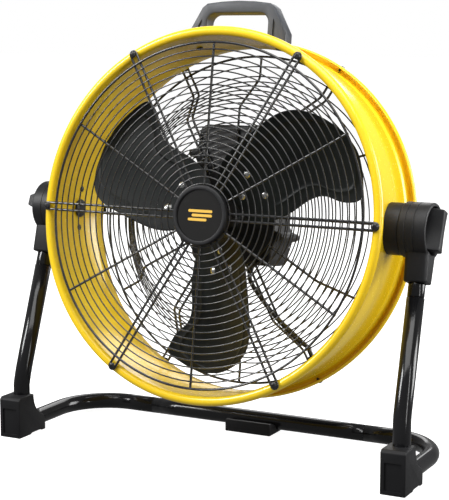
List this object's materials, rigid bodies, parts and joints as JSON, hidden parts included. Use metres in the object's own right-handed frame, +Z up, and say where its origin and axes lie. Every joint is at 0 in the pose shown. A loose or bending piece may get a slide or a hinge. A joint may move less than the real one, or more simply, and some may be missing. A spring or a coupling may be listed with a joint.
{
  "type": "drum floor fan",
  "caption": "Yellow steel drum fan that tilts in a bent-tube floor stand, with wire guards, a direct-drive impeller and a carrying handle.",
  "frame": {"origin": "on the floor, straight below the tilt axis and midway between the two pivots", "axes": "+Z up; the fan blows towards -Y and slightly upwards at rest; +X to the right-hand pivot as seen from in front of a reader facing +Y"},
  "size_m": [0.676, 0.244, 0.6686],
  "materials": {
    "yellow_paint": "gloss yellow enamel on rolled sheet steel",
    "black_paint": "gloss black powder coat on steel tube, plate and fasteners",
    "black_wire": "black dip-coated steel wire",
    "blade_coating": "satin charcoal coating on aluminium sheet",
    "bright_steel": "zinc-plated and ground steel",
    "core_steel": "dull bare steel, laminated in the motor",
    "black_plastic": "fine-textured black moulding",
    "grey_plastic": "satin slate grey moulding",
    "rubber": "matt black flexible sheath",
    "gold_trim": "printed gold motif on a gloss black disc"
  },
  "bodies": {
    "stand": {"cross_tube": "black_paint", "foot_boot_left": "black_plastic", "foot_boot_right": "black_plastic", "joint_sleeve_left": "core_steel", "joint_sleeve_right": "core_steel", "pivot_bracket_left": "black_plastic", "pivot_bracket_right": "black_plastic", "rear_pad": "black_plastic", "side_tube_left": "black_paint", "side_tube_right": "black_paint", "upright_tube_left": "black_paint", "upright_tube_right": "black_paint"},
    "drum_head": {"badge_insert": "gold_trim", "bearing_front": "bright_steel", "bearing_rear": "bright_steel", "capacitor": "grey_plastic", "carry_handle": "grey_plastic", "drum_shell": "yellow_paint", "front_guard": "black_wire", "front_guard_screw_1": "black_paint", "front_guard_screw_2": "black_paint", "front_guard_screw_3": "black_paint", "front_guard_screw_4": "black_paint", "front_guard_screw_5": "black_paint", "front_guard_screw_6": "black_paint", "guard_badge": "black_plastic", "handle_screw_left": "black_paint", "handle_screw_right": "black_paint", "lead_clamp": "black_plastic", "lead_gland": "rubber", "motor_case_front": "core_steel", "motor_case_rear": "core_steel", "motor_housing_front": "black_plastic", "motor_housing_rear": "black_plastic", "motor_lead": "rubber", "motor_mount_plate": "black_paint", "pivot_bolt_left": "black_paint", "pivot_bolt_right": "black_paint", "pivot_boss_left": "black_plastic", "pivot_boss_right": "black_plastic", "rear_guard": "black_wire", "rear_guard_screw_1": "black_paint", "rear_guard_screw_2": "black_paint", "rear_guard_screw_3": "black_paint", "rear_guard_screw_4": "black_paint", "rear_guard_screw_5": "black_paint", "rear_guard_screw_6": "black_paint", "speed_switch": "black_plastic", "stator": "core_steel"},
    "impeller": {"blade_1": "blade_coating", "blade_2": "blade_coating", "blade_3": "blade_coating", "hub_nut": "bright_steel", "impeller_hub": "black_paint", "motor_shaft": "bright_steel", "rotor": "core_steel"},
    "speed_knob": {"speed_knob": "black_plastic"},
    "tilt_knob_left": {"tilt_knob_left": "black_plastic"},
    "tilt_knob_right": {"tilt_knob_right": "black_plastic"}
  },
  "joints": [
    {"name": "head_tilt", "type": "hinge", "parent": "stand", "child": "drum_head", "pos_m": [0, 0, 0.3487], "axis": [1, 0, 0], "range_deg": [-81.37, 98.63]},
    {"name": "impeller_spin", "type": "hinge", "parent": "drum_head", "child": "impeller", "pos_m": [0, 0, 0.3487], "axis": [0, 0.9887, -0.1501], "continuous": true},
    {"name": "speed_select", "type": "hinge", "parent": "drum_head", "child": "speed_knob", "pos_m": [0, 0.09806, 0.44002], "axis": [0, 0.9887, -0.1501], "range_deg": [-135, 0]},
    {"name": "tilt_clamp_left", "type": "hinge", "parent": "stand", "child": "tilt_knob_left", "pos_m": [-0.3245, 0, 0.3487], "axis": [-1, 0, 0], "range_deg": [0, 360]},
    {"name": "tilt_clamp_right", "type": "hinge", "parent": "stand", "child": "tilt_knob_right", "pos_m": [0.3245, 0, 0.3487], "axis": [1, 0, 0], "range_deg": [0, 360]}
  ]
}
